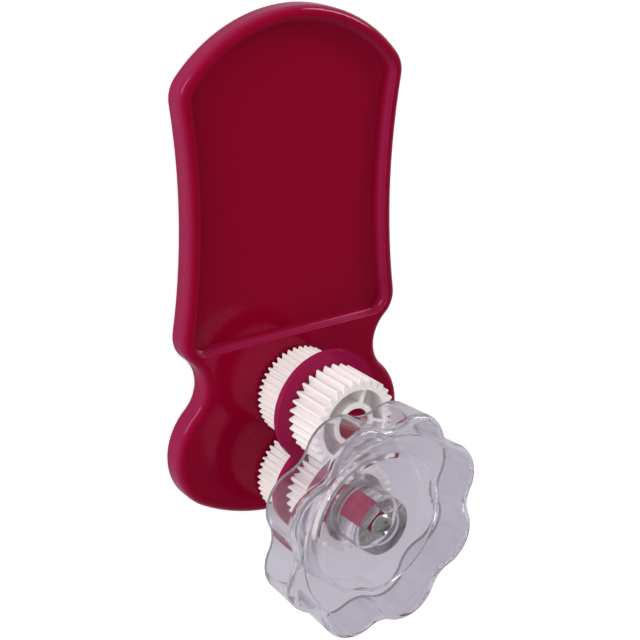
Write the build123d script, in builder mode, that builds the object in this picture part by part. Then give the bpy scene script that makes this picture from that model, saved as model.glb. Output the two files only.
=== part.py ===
from build123d import *
import math
import os

# Hand crimper for paper strips: a handled plate with a fine and a coarse pair of meshed
# gears on two axles, turned by a scalloped knob.  Lengths in millimetres, angles in degrees.
# The origin is on the drive axle at the plate's rear face.  +Z runs along the axles
# towards the knob and +Y runs from the drive axle along the handle.

# ---------------------------------------------------------------- plate
plate_l = 140.0            # overall length along the handle
plate_t = 6.2              # overall thickness of the moulding
foot_drop = 12.37          # foot of the plate below the drive axle
top_arc_r = 42.87          # crowned end of the handle
shoulder_r = 8.03          # round of the handle's shoulders
shoulder_half_w = 34.55    # half width across the shoulders
waist_arc_r = 192.67       # hollow sides of the handle
corner_r = 8.24            # round of the handle's lower corners
corner_half_w = 34.54      # half width across the lower corners
corner_y = 44.64           # height of the lower corners' centres
neck_arc_r = 10.2          # notch between the handle and the lobes
lobe_r = 17.49             # round of the lobes beside the gears
lobe_half_w = 36.74        # half width across the lobes
foot_arc_r = 54.85         # flat round of the foot
front_edge_r = 2.4         # round of the front edge
rear_edge_r = 0.3          # broken rear edge
wall_t = 2.0               # outer wall of the hollow back
deck_t = 2.3               # front skin round the axles

panel_inset = 2.95         # rim left round the recessed panel
panel_corner_deg = 66.2    # turn of the rim round a lower corner, down to the straight lip
panel_corner_r = 3.0       # round between that corner and the lip
panel_depth = 3.0          # depth of the panel below the rim
panel_floor_t = 1.8        # skin under the panel
panel_foot_r = 1.8         # soft corner at the panel's floor
panel_lip_r = 0.35         # broken edge of the panel's rim

# ---------------------------------------------------------------- axles
axle_gap = 24.0            # distance between the two axles
boss_r = 8.0               # bosses behind the deck
boss_floor_t = 1.2         # closed end of the drive shaft's bore
axle_boss_z = 2.5          # rear face of the idler axle's boss
collar_r = 6.6             # raised collars in front of the deck
collar_h = 0.65            # height of the collars
flange_r = 7.0             # rear flange of the idler axle
flange_t = 1.6             # thickness of that flange
end_play = 0.2             # axial play of the turning shaft
run_fit = 0.08             # radial clearance of a turning fit
slide_fit = 0.1            # clearance on each side of a square seat
side_gap = 0.25            # axial gap beside a turning gear
journal_r = 5.05           # round part of the drive shaft
square_w = 6.0             # square part of the drive shaft
square_deg = 42.0          # rest angle of the square
axle_r = 4.8               # idler axle in the plate and in the fine gear
axle_nose_r = 4.4          # idler axle in front of its shoulder
axle_short = 1.0           # end of the idler axle behind the coarse gear's face
axle_edge = 0.4            # chamfer on that end

# ---------------------------------------------------------------- gears
fine_teeth = 42
fine_w = 12.4              # face width
fine_add = 0.5             # tooth height above the pitch circle
fine_ded = 0.7             # tooth depth below the pitch circle
fine_flank_deg = 20.0      # slope of the flanks
fine_backlash = 0.235      # play at the pitch circle
fine_tip = 0.06            # rise of the rounded tip
coarse_teeth = 30
coarse_w = 12.2
coarse_add = 0.65
coarse_ded = 1.25
coarse_flank_deg = 23.0
coarse_backlash = 0.41
coarse_tip = 0.12
pocket_r = 9.8             # inside of a gear's rim
hub_r = 6.0                # hub of a gear
hub_drop = 0.5             # front of a coarse hub behind its rim
web_t = 2.2                # web between rim and hub
rib_t = 1.2                # ribs between rim and hub
rib_count = 4
rib_deg = 72.0             # direction of the first rib
sleeve_r = 6.2             # rear sleeve of the coarse drive gear

# ---------------------------------------------------------------- divider
divider_t = 1.8
divider_r = 16.0           # each end of the figure of eight
divider_notch_r = 3.0      # round of its two notches
divider_hole_gap = 0.3     # gap round the turning sleeve

# ---------------------------------------------------------------- knob
knob_gap = 1.6             # skirt in front of the coarse gears
knob_h = 13.0              # height of the skirt
knob_lobes = 8
knob_deg = 21.4            # direction of the first lobe
knob_peak_r = 31.7         # front rim on a lobe
knob_valley_r = 28.2       # front rim between two lobes
knob_lobe_r = 10.7         # round of a lobe
knob_draft = 0.8           # rear rim inside the front rim
knob_edge_r = 2.1          # round of the front rim
knob_wall = 1.7            # wall of the skirt and of the face
dish_r = 26.0              # outer edge of the dished face
dish_drop = 3.0            # fall of the face towards the well
ring_r = 18.7              # mouth of the well
well_r = 18.4              # foot of the well
well_depth = 10.1          # floor of the well below the rim
knob_boss_r = 8.0          # boss that holds the shaft
knob_boss_drop = 1.9       # front of the boss below the rim
knob_boss_draft = 0.3      # foot of the boss wider than its front
screw_seat_r = 5.3         # counterbore for the screw's head
screw_seat_h = 0.8
screw_web = 1.2            # skin between the head and the shaft
shaft_end_gap = 0.2        # shaft end behind that skin

# ---------------------------------------------------------------- screw
screw_r = 1.5              # shank
screw_hole_gap = 0.2       # clearance in the knob
pilot_fit = 0.05           # clearance in the shaft
screw_l = 12.0             # shank length below the head
head_r = 3.2
head_h = 2.0
head_rim_h = 0.5           # upright edge of the head
cross_l = 3.6              # length across the cross recess
cross_w = 0.9
cross_depth = 1.3
cross_taper_deg = 14.0     # draft of the cross recess

# ---------------------------------------------------------------- positions along the axles
collar_z = plate_t + collar_h
fine_z = collar_z + side_gap
fine_front = fine_z + fine_w
divider_z = fine_front + side_gap
divider_front = divider_z + divider_t
coarse_z = divider_front + side_gap
coarse_front = coarse_z + coarse_w
hub_front = coarse_front - hub_drop
knob_z = coarse_front + knob_gap
knob_front = knob_z + knob_h
boss_front = knob_front - knob_boss_drop
head_z = boss_front - screw_seat_h
socket_z = head_z - screw_web
shaft_front = socket_z - shaft_end_gap
axle_front = coarse_front - axle_short
shaft_rear = boss_floor_t + end_play
pitch_r = axle_gap / 2


def circles_meet(c1, r1, c2, r2):
    """The meeting point of two circles on the +X side of the line down from c1 to c2."""
    step = c2 - c1
    along = (step.length**2 + r1**2 - r2**2) / (2 * step.length)
    across = math.sqrt(r1**2 - along**2)
    way = step.normalized()
    return c1 + way * along + Vector(-way.Y, way.X) * across


def toward(c1, c2, distance):
    """The point at a distance from c1 on the line to c2."""
    return c1 + (c2 - c1).normalized() * distance


def polar(radius, angle):
    """The point at a radius and an angle in degrees."""
    return Vector(radius * math.cos(math.radians(angle)), radius * math.sin(math.radians(angle)))


def toothed_face(plane, teeth, add_h, ded_h, flank_deg, backlash, tip_rise, first_deg):
    """A toothed disc with straight flanks, rounded tips and rounded roots."""
    step_deg = 360 / teeth
    tooth_w = (2 * math.pi * pitch_r / teeth - backlash) / 2
    slope = math.tan(math.radians(flank_deg))
    high_r = pitch_r + add_h - tip_rise
    low_r = pitch_r - ded_h + tip_rise
    high_deg = math.degrees((tooth_w / 2 - (high_r - pitch_r) * slope) / high_r)
    low_deg = math.degrees((tooth_w / 2 + (pitch_r - low_r) * slope) / low_r)
    with BuildSketch(plane) as face:
        with BuildLine():
            for i in range(teeth):
                mid = first_deg + i * step_deg
                rise = Line(polar(low_r, mid - low_deg), polar(high_r, mid - high_deg))
                tip = ThreePointArc(rise @ 1, polar(pitch_r + add_h, mid), polar(high_r, mid + high_deg))
                fall = Line(tip @ 1, polar(low_r, mid + low_deg))
                root = polar(pitch_r - ded_h, mid + step_deg / 2)
                ThreePointArc(fall @ 1, root, polar(low_r, mid + step_deg - low_deg))
        make_face()
    return face.sketch


def pocket_face(plane):
    """The ring between a gear's rim and hub, cut through by the radial ribs."""
    with BuildSketch(plane) as face:
        Circle(pocket_r)
        Circle(hub_r, mode=Mode.SUBTRACT)
        with PolarLocations(0, rib_count, start_angle=rib_deg):
            Rectangle(2 * pocket_r, rib_t, align=(Align.MIN, Align.CENTER), mode=Mode.SUBTRACT)
    return face.sketch


def scallop_face(z, inset):
    """The knob's outline of tangent arcs, drawn in by an inset."""
    half_deg = 180 / knob_lobes
    reach = knob_peak_r - knob_lobe_r
    spread = reach * math.cos(math.radians(half_deg))
    gap = reach**2 + knob_valley_r**2 - 2 * knob_valley_r * spread - knob_lobe_r**2
    valley_arc_r = gap / (2 * (knob_lobe_r - knob_valley_r + spread))
    with BuildSketch(Plane.XY.offset(z)) as face:
        with BuildLine():
            for i in range(knob_lobes):
                mid = knob_deg + i * 360 / knob_lobes
                lobe_c = polar(reach, mid)
                before_c = polar(knob_valley_r + valley_arc_r, mid - half_deg)
                after_c = polar(knob_valley_r + valley_arc_r, mid + half_deg)
                next_c = polar(reach, mid + 2 * half_deg)
                start = toward(lobe_c, before_c, knob_lobe_r - inset)
                end = toward(lobe_c, after_c, knob_lobe_r - inset)
                ThreePointArc(start, polar(knob_peak_r - inset, mid), end)
                onward = toward(next_c, after_c, knob_lobe_r - inset)
                ThreePointArc(end, polar(knob_valley_r - inset, mid + half_deg), onward)
        make_face()
    return face.sketch


# ---------------------------------------------------------------- plate outline
# Centres of the tangent arcs on the +X side, from the crown of the handle to the foot.
top_y = plate_l - foot_drop
top_c = Vector(0, top_y - top_arc_r)
shoulder_x = shoulder_half_w - shoulder_r
shoulder_c = Vector(shoulder_x, top_c.Y + math.sqrt((top_arc_r - shoulder_r) ** 2 - shoulder_x**2))
corner_c = Vector(corner_half_w - corner_r, corner_y)
foot_c = Vector(0, foot_arc_r - foot_drop)
lobe_x = lobe_half_w - lobe_r
lobe_c = Vector(lobe_x, foot_c.Y - math.sqrt((foot_arc_r - lobe_r) ** 2 - lobe_x**2))
waist_c = circles_meet(shoulder_c, waist_arc_r + shoulder_r, corner_c, waist_arc_r + corner_r)
neck_c = circles_meet(corner_c, neck_arc_r + corner_r, lobe_c, neck_arc_r + lobe_r)
lip_y = corner_c.Y - (corner_r - panel_inset) * math.sin(math.radians(panel_corner_deg))


def handle_points(inset):
    """The ends of the crown's, the shoulder's and the side's arcs, drawn in by an inset."""
    crown_end = toward(top_c, shoulder_c, top_arc_r - inset)
    shoulder_end = toward(shoulder_c, waist_c, shoulder_r - inset)
    waist_end = toward(corner_c, waist_c, corner_r - inset)
    return [crown_end, shoulder_end, waist_end]


def foot_points(inset):
    """The ends of the corner's, the neck's and the lobe's arcs, drawn in by an inset."""
    corner_end = toward(corner_c, neck_c, corner_r - inset)
    neck_end = toward(lobe_c, neck_c, lobe_r - inset)
    lobe_end = toward(foot_c, lobe_c, foot_arc_r - inset)
    return [corner_end, neck_end, lobe_end]


def plate_face(plane, inset):
    """The plate's outline of tangent arcs, drawn in by an inset."""
    with BuildSketch(plane) as face:
        with BuildLine():
            arc = TangentArc((0, top_y - inset), handle_points(inset)[0], tangent=(1, 0))
            for point in handle_points(inset)[1:] + foot_points(inset) + [Vector(0, inset - foot_drop)]:
                arc = TangentArc(arc @ 1, point, tangent=arc % 1)
            mirror(about=Plane.YZ)
        make_face()
    return face.sketch


def panel_face(plane):
    """The recessed panel's outline, which ends in a straight lip."""
    corner_end = corner_c + polar(corner_r - panel_inset, -panel_corner_deg)
    with BuildSketch(plane) as face:
        with BuildLine():
            arc = TangentArc((0, top_y - panel_inset), handle_points(panel_inset)[0], tangent=(1, 0))
            for point in handle_points(panel_inset)[1:] + [corner_end]:
                arc = TangentArc(arc @ 1, point, tangent=arc % 1)
            mirror(about=Plane.YZ)
            Line(corner_end, (-corner_end.X, lip_y))
        make_face()
        lip_ends = face.vertices().group_by(Axis.Y)[0]
        fillet(lip_ends, radius=panel_corner_r)
    return face.sketch


with BuildSketch() as deck_hollow:
    add(plate_face(Plane.XY, wall_t))
    with Locations((0, lip_y - wall_t)):
        Rectangle(2 * plate_l, plate_l, align=(Align.CENTER, Align.MAX), mode=Mode.INTERSECT)

# ---------------------------------------------------------------- base shell
with BuildPart() as base_shell:
    extrude(plate_face(Plane.XY, 0), amount=plate_t)
    fillet(base_shell.faces().sort_by(Axis.Z)[-1].edges(), radius=front_edge_r)
    fillet(base_shell.faces().sort_by(Axis.Z)[0].edges(), radius=rear_edge_r)
    # Recessed panel in the handle, with a straight lip at its lower end.
    extrude(panel_face(Plane.XY.offset(plate_t)), amount=-panel_depth, mode=Mode.SUBTRACT)
    panel_floor = base_shell.faces(Select.LAST).filter_by(Plane.XY).sort_by(Axis.Z)[0]
    fillet(panel_floor.edges(), radius=panel_foot_r)
    panel_lip = base_shell.faces().filter_by(Plane.XY).sort_by(Axis.Z)[-1].inner_wires()[0]
    fillet(panel_lip.edges(), radius=panel_lip_r)
    # Hollow back: shallow under the panel and deep under the deck.
    panel_back = plate_t - panel_depth - panel_floor_t
    extrude(plate_face(Plane.XY, wall_t), amount=panel_back, mode=Mode.SUBTRACT)
    extrude(deck_hollow.sketch, amount=plate_t - deck_t, mode=Mode.SUBTRACT)
    # The drive shaft's boss is closed and reaches the rear plane.  The idler axle's boss is
    # shorter, for the axle's flange.
    with BuildSketch():
        Circle(boss_r)
    extrude(amount=plate_t)
    with BuildSketch(Plane(origin=(0, axle_gap, axle_boss_z))):
        Circle(boss_r)
    extrude(amount=plate_t - axle_boss_z)
    with BuildSketch(Plane.XY.offset(plate_t)):
        with Locations((0, 0), (0, axle_gap)):
            Circle(collar_r)
    extrude(amount=collar_h)
    with BuildSketch(Plane.XY.offset(boss_floor_t)):
        Circle(journal_r + run_fit)
        with Locations((0, axle_gap)):
            Circle(axle_r)
    extrude(amount=collar_z - boss_floor_t, mode=Mode.SUBTRACT)

# ---------------------------------------------------------------- idler axle
with BuildPart() as idler_axle:
    with BuildSketch(Plane(origin=(0, axle_gap, axle_boss_z - flange_t))):
        Circle(flange_r)
    extrude(amount=flange_t)
    with BuildSketch(Plane(origin=(0, axle_gap, axle_boss_z))):
        Circle(axle_r)
    extrude(amount=divider_z - axle_boss_z)
    with BuildSketch(Plane(origin=(0, axle_gap, divider_z))):
        Circle(axle_nose_r)
    extrude(amount=axle_front - divider_z)
    chamfer(idler_axle.faces().sort_by(Axis.Z)[-1].edges(), length=axle_edge)

# ---------------------------------------------------------------- divider plate
with BuildPart() as divider_plate:
    with BuildSketch(Plane.XY.offset(divider_z)) as eight:
        with Locations((0, 0), (0, axle_gap)):
            Circle(divider_r)
        fillet(eight.vertices().sort_by(Axis.X)[0], radius=divider_notch_r)
        fillet(eight.vertices().sort_by(Axis.X)[-1], radius=divider_notch_r)
        Circle(sleeve_r + divider_hole_gap, mode=Mode.SUBTRACT)
        with Locations((0, axle_gap)):
            Circle(axle_nose_r, mode=Mode.SUBTRACT)
    extrude(amount=divider_t)

# ---------------------------------------------------------------- drive shaft
with BuildPart() as drive_shaft:
    with BuildSketch(Plane.XY.offset(shaft_rear)):
        Circle(journal_r)
    extrude(amount=fine_z - shaft_rear)
    with BuildSketch(Plane.XY.offset(fine_z)):
        Rectangle(square_w, square_w, rotation=square_deg)
    extrude(amount=shaft_front - fine_z)
    with BuildSketch(Plane.XY.offset(shaft_front)):
        Circle(screw_r + pilot_fit)
    extrude(amount=-screw_l, mode=Mode.SUBTRACT)

# ---------------------------------------------------------------- gears
fine = (fine_teeth, fine_add, fine_ded, fine_flank_deg, fine_backlash, fine_tip)
coarse = (coarse_teeth, coarse_add, coarse_ded, coarse_flank_deg, coarse_backlash, coarse_tip)
fine_pocket = (fine_w - web_t) / 2
coarse_pocket = (coarse_w - web_t) / 2
bore_w = square_w + 2 * slide_fit

# A drive gear has a tooth on the line of centres and an idler gear has a gap there.
with BuildPart() as fine_drive_gear:
    extrude(toothed_face(Plane.XY.offset(fine_z), *fine, 90), amount=fine_w)
    extrude(pocket_face(Plane.XY.offset(fine_z)), amount=fine_pocket, mode=Mode.SUBTRACT)
    extrude(pocket_face(Plane.XY.offset(fine_front)), amount=-fine_pocket, mode=Mode.SUBTRACT)
    with BuildSketch(Plane.XY.offset(fine_z)):
        Rectangle(bore_w, bore_w, rotation=square_deg)
    extrude(amount=fine_w, mode=Mode.SUBTRACT)

with BuildPart() as fine_idler_gear:
    rear = Plane(origin=(0, axle_gap, fine_z))
    extrude(toothed_face(rear, *fine, 270 + 180 / fine_teeth), amount=fine_w)
    extrude(pocket_face(rear), amount=fine_pocket, mode=Mode.SUBTRACT)
    extrude(pocket_face(rear.offset(fine_w)), amount=-fine_pocket, mode=Mode.SUBTRACT)
    with BuildSketch(rear):
        Circle(axle_r + run_fit)
    extrude(amount=fine_w, mode=Mode.SUBTRACT)

with BuildPart() as coarse_drive_gear:
    extrude(toothed_face(Plane.XY.offset(coarse_z), *coarse, 90), amount=coarse_w)
    extrude(pocket_face(Plane.XY.offset(coarse_z)), amount=coarse_pocket, mode=Mode.SUBTRACT)
    extrude(pocket_face(Plane.XY.offset(coarse_front)), amount=-coarse_pocket, mode=Mode.SUBTRACT)
    with BuildSketch(Plane.XY.offset(hub_front)):
        Circle(pocket_r)
    extrude(amount=hub_drop, mode=Mode.SUBTRACT)
    # The rear sleeve passes the divider and seats on the fine gear's hub.
    with BuildSketch(Plane.XY.offset(fine_front)):
        Circle(sleeve_r)
    extrude(amount=coarse_z + web_t - fine_front)
    with BuildSketch(Plane.XY.offset(fine_front)):
        Rectangle(bore_w, bore_w, rotation=square_deg)
    extrude(amount=coarse_front - fine_front, mode=Mode.SUBTRACT)

with BuildPart() as coarse_idler_gear:
    rear = Plane(origin=(0, axle_gap, coarse_z))
    extrude(toothed_face(rear, *coarse, 270 + 180 / coarse_teeth), amount=coarse_w)
    extrude(pocket_face(rear), amount=coarse_pocket, mode=Mode.SUBTRACT)
    extrude(pocket_face(rear.offset(coarse_w)), amount=-coarse_pocket, mode=Mode.SUBTRACT)
    with BuildSketch(rear.offset(coarse_w - hub_drop)):
        Circle(pocket_r)
    extrude(amount=hub_drop, mode=Mode.SUBTRACT)
    with BuildSketch(rear):
        Circle(axle_nose_r + run_fit)
    extrude(amount=coarse_w, mode=Mode.SUBTRACT)

# ---------------------------------------------------------------- knob
ring_z = knob_front - dish_drop
well_z = knob_front - well_depth
under_z = knob_front - knob_wall
outside_r = 2 * knob_peak_r

# Space inside the skirt, behind the dished face and round the well.
with BuildPart() as knob_hollow:
    loft([scallop_face(knob_z, knob_draft + knob_wall), scallop_face(knob_front, knob_wall)], ruled=True)
    with BuildSketch(Plane.XZ):
        with BuildLine():
            Polyline(
                (knob_boss_r, knob_z),
                (knob_boss_r, well_z - knob_wall),
                (well_r + knob_wall, well_z - knob_wall),
                (ring_r + knob_wall, ring_z - knob_wall),
                (dish_r, under_z),
                (outside_r, under_z),
                (outside_r, knob_z),
                close=True,
            )
        make_face()
    revolve(axis=Axis.Z, mode=Mode.INTERSECT)

with BuildPart() as knob:
    loft([scallop_face(knob_z, knob_draft), scallop_face(knob_front, 0)], ruled=True)
    fillet(knob.faces().sort_by(Axis.Z)[-1].edges(), radius=knob_edge_r)
    # Dished face, round well and the boss in the middle of the well.
    with BuildSketch(Plane.XZ):
        with BuildLine():
            Polyline(
                (0, knob_front),
                (0, boss_front),
                (knob_boss_r, boss_front),
                (knob_boss_r + knob_boss_draft, well_z),
                (well_r, well_z),
                (ring_r, ring_z),
                (dish_r, knob_front),
                close=True,
            )
        make_face()
    revolve(axis=Axis.Z, mode=Mode.SUBTRACT)
    add(knob_hollow.part, mode=Mode.SUBTRACT)
    # The boss runs back to the coarse gear's hub and holds the square of the shaft.
    with BuildSketch(Plane.XY.offset(hub_front)):
        Circle(knob_boss_r)
    extrude(amount=well_z - hub_front)
    with BuildSketch(Plane.XY.offset(hub_front)):
        Rectangle(bore_w, bore_w, rotation=square_deg)
    extrude(amount=socket_z - hub_front, mode=Mode.SUBTRACT)
    with BuildSketch(Plane.XY.offset(socket_z)):
        Circle(screw_r + screw_hole_gap)
    extrude(amount=boss_front - socket_z, mode=Mode.SUBTRACT)
    with BuildSketch(Plane.XY.offset(head_z)):
        Circle(screw_seat_r)
    extrude(amount=screw_seat_h, mode=Mode.SUBTRACT)

# ---------------------------------------------------------------- knob screw
with BuildPart() as knob_screw:
    with BuildSketch(Plane.XZ):
        with BuildLine():
            shank = Polyline(
                (0, head_z - screw_l),
                (screw_r, head_z - screw_l),
                (screw_r, head_z),
                (head_r, head_z),
                (head_r, head_z + head_rim_h),
            )
            crown_line = TangentArc((0, head_z + head_h), shank @ 1, tangent=(1, 0))
            Line(crown_line @ 0, shank @ 0)
        make_face()
    revolve(axis=Axis.Z)
    with BuildSketch(Plane.XY.offset(head_z + head_h - cross_depth)):
        Rectangle(cross_l, cross_w)
        Rectangle(cross_w, cross_l)
    extrude(amount=cross_depth, taper=-cross_taper_deg, mode=Mode.SUBTRACT)

# ---------------------------------------------------------------- files
base_shell.part.label = "base_shell"
idler_axle.part.label = "idler_axle"
divider_plate.part.label = "divider_plate"
drive_shaft.part.label = "drive_shaft"
fine_drive_gear.part.label = "fine_drive_gear"
fine_idler_gear.part.label = "fine_idler_gear"
coarse_drive_gear.part.label = "coarse_drive_gear"
coarse_idler_gear.part.label = "coarse_idler_gear"
knob.part.label = "knob"
knob_screw.part.label = "knob_screw"

os.makedirs("parts", exist_ok=True)
export_step(base_shell.part, "parts/base_shell.step")
export_step(idler_axle.part, "parts/idler_axle.step")
export_step(divider_plate.part, "parts/divider_plate.step")
export_step(drive_shaft.part, "parts/drive_shaft.step")
export_step(fine_drive_gear.part, "parts/fine_drive_gear.step")
export_step(fine_idler_gear.part, "parts/fine_idler_gear.step")
export_step(coarse_drive_gear.part, "parts/coarse_drive_gear.step")
export_step(coarse_idler_gear.part, "parts/coarse_idler_gear.step")
export_step(knob.part, "parts/knob.step")
export_step(knob_screw.part, "parts/knob_screw.step")
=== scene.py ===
import math

import bpy
from mathutils import Matrix, Vector

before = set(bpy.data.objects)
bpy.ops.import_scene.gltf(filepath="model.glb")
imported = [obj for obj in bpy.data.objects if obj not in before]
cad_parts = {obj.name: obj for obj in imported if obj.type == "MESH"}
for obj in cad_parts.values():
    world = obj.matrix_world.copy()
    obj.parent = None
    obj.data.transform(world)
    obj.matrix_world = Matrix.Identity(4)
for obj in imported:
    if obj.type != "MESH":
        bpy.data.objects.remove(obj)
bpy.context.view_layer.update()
MM = 0.001

# ---------------------------------------------------------------- camera
# The photograph's camera, fitted to the plate's outline, the gears and the knob's rim.
CAM_AT = Vector((-224.744, 201.278, 322.603)) * MM
CAM_RIGHT = Vector((0.80968675, 0.01905054, 0.58655302))
CAM_DOWN = Vector((-0.20602238, -0.92663333, 0.31449238))
CAM_AHEAD = Vector((0.54951082, -0.37548336, -0.74635789))
SENSOR = 36.0
FOCAL_PX = 1567.061
IMAGE_PX = 640.0

cam_data = bpy.data.cameras.new("camera")
cam_data.sensor_width = SENSOR
cam_data.sensor_fit = "HORIZONTAL"
cam_data.lens = FOCAL_PX / IMAGE_PX * SENSOR
cam_data.clip_start = 0.01
cam = bpy.data.objects.new("camera", cam_data)
turn = Matrix((CAM_RIGHT, -CAM_DOWN, -CAM_AHEAD)).transposed()
cam.matrix_world = Matrix.Translation(CAM_AT) @ turn.to_4x4()
bpy.context.scene.collection.objects.link(cam)
bpy.context.scene.camera = cam
bpy.context.scene.view_settings.view_transform = "Standard"

# Light turns back inside the clear knob many times before it leaves it.
bpy.context.scene.cycles.max_bounces = 32
bpy.context.scene.cycles.glossy_bounces = 24
bpy.context.scene.cycles.transmission_bounces = 32


# ---------------------------------------------------------------- node helpers
def new_material(name):
    mat = bpy.data.materials.new(name)
    mat.use_nodes = True
    nodes = mat.node_tree.nodes
    nodes.clear()
    out = nodes.new("ShaderNodeOutputMaterial")
    return mat, mat.node_tree, out


def noise(tree, scale, detail=2.0):
    coord = tree.nodes.new("ShaderNodeTexCoord")
    tex = tree.nodes.new("ShaderNodeTexNoise")
    tex.inputs["Scale"].default_value = scale
    tex.inputs["Detail"].default_value = detail
    tree.links.new(coord.outputs["Object"], tex.inputs["Vector"])
    return tex.outputs["Fac"]


def spread(tree, fac, low, high):
    """Stretches the middle of a noise over low to high."""
    span = tree.nodes.new("ShaderNodeMapRange")
    span.inputs["To Min"].default_value = low
    span.inputs["To Max"].default_value = high
    span.inputs["From Min"].default_value = 0.3
    span.inputs["From Max"].default_value = 0.7
    tree.links.new(fac, span.inputs["Value"])
    return span.outputs["Result"]


def bump(tree, fac, strength, distance):
    node = tree.nodes.new("ShaderNodeBump")
    node.inputs["Strength"].default_value = strength
    node.inputs["Distance"].default_value = distance
    tree.links.new(fac, node.inputs["Height"])
    return node.outputs["Normal"]


def blend_color(tree, fac, low, high):
    mix = tree.nodes.new("ShaderNodeMix")
    mix.data_type = "RGBA"
    tree.links.new(fac, mix.inputs["Factor"])
    mix.inputs["A"].default_value = (*low, 1)
    mix.inputs["B"].default_value = (*high, 1)
    return mix.outputs["Result"]


# How far the normal leans to Z where the painted magenta reflection on vertical faces starts, and where
# it is full.
PAINTED_REFLECTION_FROM = 0.98
PAINTED_REFLECTION_FULL = 0.35


def painted_reflection_mask(tree):
    """Mask for the painted reflection: 0 on faces that look along Z and 1 on vertical walls."""
    shape = tree.nodes.new("ShaderNodeNewGeometry")
    parts = tree.nodes.new("ShaderNodeSeparateXYZ")
    tree.links.new(shape.outputs["Normal"], parts.inputs["Vector"])
    lean = tree.nodes.new("ShaderNodeMath")
    lean.operation = "ABSOLUTE"
    tree.links.new(parts.outputs["Z"], lean.inputs[0])
    span = tree.nodes.new("ShaderNodeMapRange")
    span.interpolation_type = "SMOOTHSTEP"
    span.inputs["From Min"].default_value = PAINTED_REFLECTION_FROM
    span.inputs["From Max"].default_value = PAINTED_REFLECTION_FULL
    tree.links.new(lean.outputs[0], span.inputs["Value"])
    return span.outputs["Result"]


# ---------------------------------------------------------------- materials
def crimson_plastic(name, low, high, painted_wall_reflection):
    """Crimson moulding, with a painted magenta reflection of the surroundings on its vertical walls."""
    mat, tree, out = new_material(name)
    bsdf = tree.nodes.new("ShaderNodeBsdfPrincipled")
    painted_reflection_mix = tree.nodes.new("ShaderNodeMix")
    painted_reflection_mix.data_type = "RGBA"
    tree.links.new(painted_reflection_mask(tree), painted_reflection_mix.inputs["Factor"])
    tree.links.new(blend_color(tree, noise(tree, 18.0, 3.0), low, high), painted_reflection_mix.inputs["A"])
    # Painted reflection: vertical walls take a more magenta colour, standing in for the surroundings they
    # reflect.
    painted_reflection_mix.inputs["B"].default_value = (*painted_wall_reflection, 1)
    tree.links.new(painted_reflection_mix.outputs["Result"], bsdf.inputs["Base Color"])
    fine = noise(tree, 900.0, 2.0)
    tree.links.new(spread(tree, fine, 0.09, 0.13), bsdf.inputs["Roughness"])
    tree.links.new(bump(tree, noise(tree, 120.0, 2.0), 0.03, 0.0004), bsdf.inputs["Normal"])
    bsdf.inputs["IOR"].default_value = 1.5
    bsdf.inputs["Specular IOR Level"].default_value = 0.16
    bsdf.inputs["Specular Tint"].default_value = (1.0, 0.5, 0.9, 1.0)
    tree.links.new(bsdf.outputs[0], out.inputs["Surface"])
    return mat


def white_plastic():
    mat, tree, out = new_material("white_plastic")
    bsdf = tree.nodes.new("ShaderNodeBsdfPrincipled")
    broad = noise(tree, 60.0, 3.0)
    tree.links.new(blend_color(tree, broad, (0.79, 0.74, 0.73), (0.85, 0.80, 0.79)),
                   bsdf.inputs["Base Color"])
    tree.links.new(spread(tree, noise(tree, 700.0, 2.0), 0.32, 0.45), bsdf.inputs["Roughness"])
    tree.links.new(bump(tree, noise(tree, 900.0, 2.0), 0.08, 0.0002), bsdf.inputs["Normal"])
    bsdf.inputs["Subsurface Weight"].default_value = 0.25
    bsdf.inputs["Subsurface Radius"].default_value = (1.0, 0.8, 0.7)
    bsdf.inputs["Subsurface Scale"].default_value = 0.001
    tree.links.new(bsdf.outputs[0], out.inputs["Surface"])
    return mat


def clear_plastic():
    mat, tree, out = new_material("clear_plastic")
    bsdf = tree.nodes.new("ShaderNodeBsdfPrincipled")
    tree.links.new(blend_color(tree, noise(tree, 30.0, 2.0), (0.84, 0.83, 0.87), (0.87, 0.86, 0.90)),
                   bsdf.inputs["Base Color"])
    tree.links.new(spread(tree, noise(tree, 400.0, 2.0), 0.02, 0.05), bsdf.inputs["Roughness"])
    tree.links.new(bump(tree, noise(tree, 70.0, 2.0), 0.05, 0.0006), bsdf.inputs["Normal"])
    bsdf.inputs["Transmission Weight"].default_value = 0.985
    bsdf.inputs["IOR"].default_value = 1.42
    # Lamps light what is behind the knob through it.
    path = tree.nodes.new("ShaderNodeLightPath")
    gap = tree.nodes.new("ShaderNodeBsdfTransparent")
    gap.inputs["Color"].default_value = (0.93, 0.925, 0.945, 1)
    pick = tree.nodes.new("ShaderNodeMixShader")
    tree.links.new(path.outputs["Is Shadow Ray"], pick.inputs["Fac"])
    tree.links.new(bsdf.outputs[0], pick.inputs[1])
    tree.links.new(gap.outputs[0], pick.inputs[2])
    tree.links.new(pick.outputs[0], out.inputs["Surface"])
    return mat


def plated_steel():
    mat, tree, out = new_material("plated_steel")
    bsdf = tree.nodes.new("ShaderNodeBsdfPrincipled")
    tree.links.new(blend_color(tree, noise(tree, 500.0, 3.0), (0.66, 0.66, 0.67), (0.80, 0.80, 0.81)),
                   bsdf.inputs["Base Color"])
    tree.links.new(spread(tree, noise(tree, 1500.0, 3.0), 0.10, 0.24), bsdf.inputs["Roughness"])
    tree.links.new(bump(tree, noise(tree, 1200.0, 2.0), 0.10, 0.0002), bsdf.inputs["Normal"])
    bsdf.inputs["Metallic"].default_value = 1.0
    tree.links.new(bsdf.outputs[0], out.inputs["Surface"])
    return mat


FLOOR_COLOR = (0.67, 0.64, 0.70, 1)
FLOOR_GLOW = 0.62          # for the camera alone, so that the floor shows as white


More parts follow.
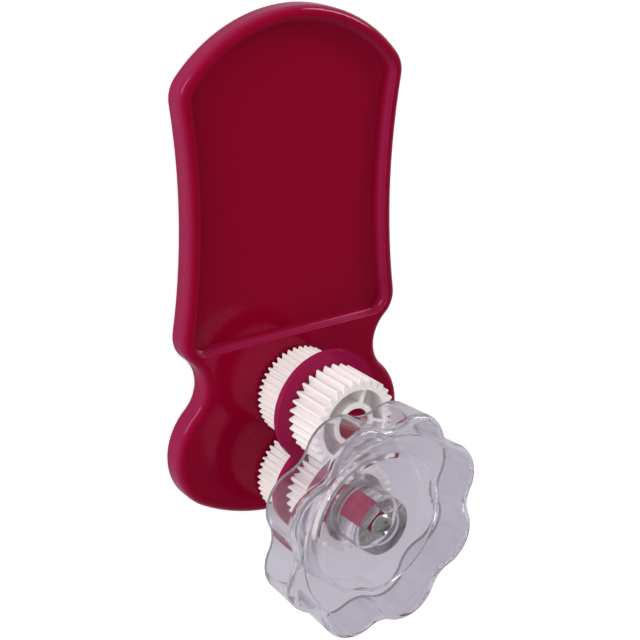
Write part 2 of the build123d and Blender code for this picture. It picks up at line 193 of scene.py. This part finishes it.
def pale_floor():
    """A plain pale floor, which the camera sees as white."""
    mat, tree, out = new_material("pale_floor")
    path = tree.nodes.new("ShaderNodeLightPath")
    diffuse = tree.nodes.new("ShaderNodeBsdfDiffuse")
    diffuse.inputs["Color"].default_value = FLOOR_COLOR
    glow = tree.nodes.new("ShaderNodeEmission")
    glow.inputs["Strength"].default_value = FLOOR_GLOW
    none = tree.nodes.new("ShaderNodeEmission")
    none.inputs["Strength"].default_value = 0.0
    pick = tree.nodes.new("ShaderNodeMixShader")
    tree.links.new(path.outputs["Is Camera Ray"], pick.inputs["Fac"])
    tree.links.new(none.outputs[0], pick.inputs[1])
    tree.links.new(glow.outputs[0], pick.inputs[2])
    both = tree.nodes.new("ShaderNodeAddShader")
    tree.links.new(diffuse.outputs[0], both.inputs[0])
    tree.links.new(pick.outputs[0], both.inputs[1])
    tree.links.new(both.outputs[0], out.inputs["Surface"])
    return mat


# The last colour of each crimson is a painted magenta reflection for vertical walls.
CRIMSON = crimson_plastic(
    "crimson_plastic", low=(0.205, 0.0003, 0.015), high=(0.228, 0.0004, 0.019), painted_wall_reflection=(0.25, 0.010, 0.050))
# The divider is the same crimson plastic painted lighter and more magenta: a painted glow of light
# through the thin plate.
THIN_PAINTED_GLOW = crimson_plastic(
    "crimson_thin_painted_glow", low=(0.240, 0.002, 0.040), high=(0.260, 0.003, 0.048), painted_wall_reflection=(0.25, 0.010, 0.055))
WHITE = white_plastic()
CLEAR = clear_plastic()
STEEL = plated_steel()
NODE_MATERIAL = {
    "base_shell": CRIMSON,
    "idler_axle": CRIMSON,
    "divider_plate": THIN_PAINTED_GLOW,
    "drive_shaft": CRIMSON,
    "fine_drive_gear": WHITE,
    "fine_idler_gear": WHITE,
    "coarse_drive_gear": WHITE,
    "coarse_idler_gear": WHITE,
    "knob": CLEAR,
    "knob_screw": STEEL,
}
for node_name, material in NODE_MATERIAL.items():
    node_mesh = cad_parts[node_name].data
    node_mesh.materials.clear()
    node_mesh.materials.append(material)

# ---------------------------------------------------------------- floor, lamps and world
FLOOR_HALF = 3.0
FLOOR_DROP = 0.0005
corners = [(x * FLOOR_HALF, y * FLOOR_HALF, 0) for x, y in ((-1, -1), (1, -1), (1, 1), (-1, 1))]
floor_mesh = bpy.data.meshes.new("floor")
floor_mesh.from_pydata(corners, [], [(0, 1, 2, 3)])
floor_mesh.materials.append(pale_floor())
floor = bpy.data.objects.new("floor", floor_mesh)
floor.location.z = -FLOOR_DROP
bpy.context.scene.collection.objects.link(floor)

CENTRE = Vector((0.0, 0.045, 0.01))


def area_lamp(name, at, size, power):
    """A soft lamp that looks at the middle of the object."""
    data = bpy.data.lights.new(name, "AREA")
    data.shape = "RECTANGLE"
    data.size, data.size_y = size
    data.energy = power
    lamp = bpy.data.objects.new(name, data)
    lamp.location = at
    lamp.rotation_euler = (CENTRE - at).to_track_quat("-Z", "Y").to_euler()
    bpy.context.scene.collection.objects.link(lamp)
    return lamp


def around(azimuth, elevation, distance):
    """A place at a direction and a distance from the middle of the object."""
    flat = distance * math.cos(math.radians(elevation))
    rise = distance * math.sin(math.radians(elevation))
    turn_rad = math.radians(azimuth)
    return CENTRE + Vector((flat * math.cos(turn_rad), flat * math.sin(turn_rad), rise))


area_lamp("left_lamp", around(143, 9, 0.8), size=(0.50, 0.22), power=4.0)
area_lamp("right_lamp", around(38, 17, 0.8), size=(0.42, 0.15), power=3.2)
fill = area_lamp("fill_lamp", around(200, 35, 0.9), size=(0.8, 0.8), power=2.5)
fill.visible_glossy = False

# Strength of the world for light, through clear plastic, and in gloss at the horizon and above.
AMBIENT = 0.60
SEEN_THROUGH = 0.45
GLOSS_LOW = 0.35
GLOSS_HIGH = 0.24
GLOSS_RISE = 0.35

world = bpy.data.worlds.new("world")
bpy.context.scene.world = world
world.use_nodes = True
sky = world.node_tree
background = sky.nodes["Background"]
background.inputs["Color"].default_value = (1, 1, 1, 1)
# Soft light from all round. Gloss sees a darker room, darkest above.
coord = sky.nodes.new("ShaderNodeTexCoord")
parts = sky.nodes.new("ShaderNodeSeparateXYZ")
sky.links.new(coord.outputs["Generated"], parts.inputs["Vector"])
ceiling = sky.nodes.new("ShaderNodeMapRange")
ceiling.interpolation_type = "SMOOTHSTEP"
ceiling.inputs["From Min"].default_value = 0.0
ceiling.inputs["From Max"].default_value = GLOSS_RISE
ceiling.inputs["To Min"].default_value = GLOSS_LOW
ceiling.inputs["To Max"].default_value = GLOSS_HIGH
sky.links.new(parts.outputs["Z"], ceiling.inputs["Value"])
path = sky.nodes.new("ShaderNodeLightPath")
plain = sky.nodes.new("ShaderNodeMix")
plain.inputs["A"].default_value = AMBIENT
plain.inputs["B"].default_value = SEEN_THROUGH
sky.links.new(path.outputs["Is Transmission Ray"], plain.inputs["Factor"])
level = sky.nodes.new("ShaderNodeMix")
sky.links.new(path.outputs["Is Glossy Ray"], level.inputs["Factor"])
sky.links.new(plain.outputs["Result"], level.inputs["A"])
sky.links.new(ceiling.outputs["Result"], level.inputs["B"])
sky.links.new(level.outputs["Result"], background.inputs["Strength"])
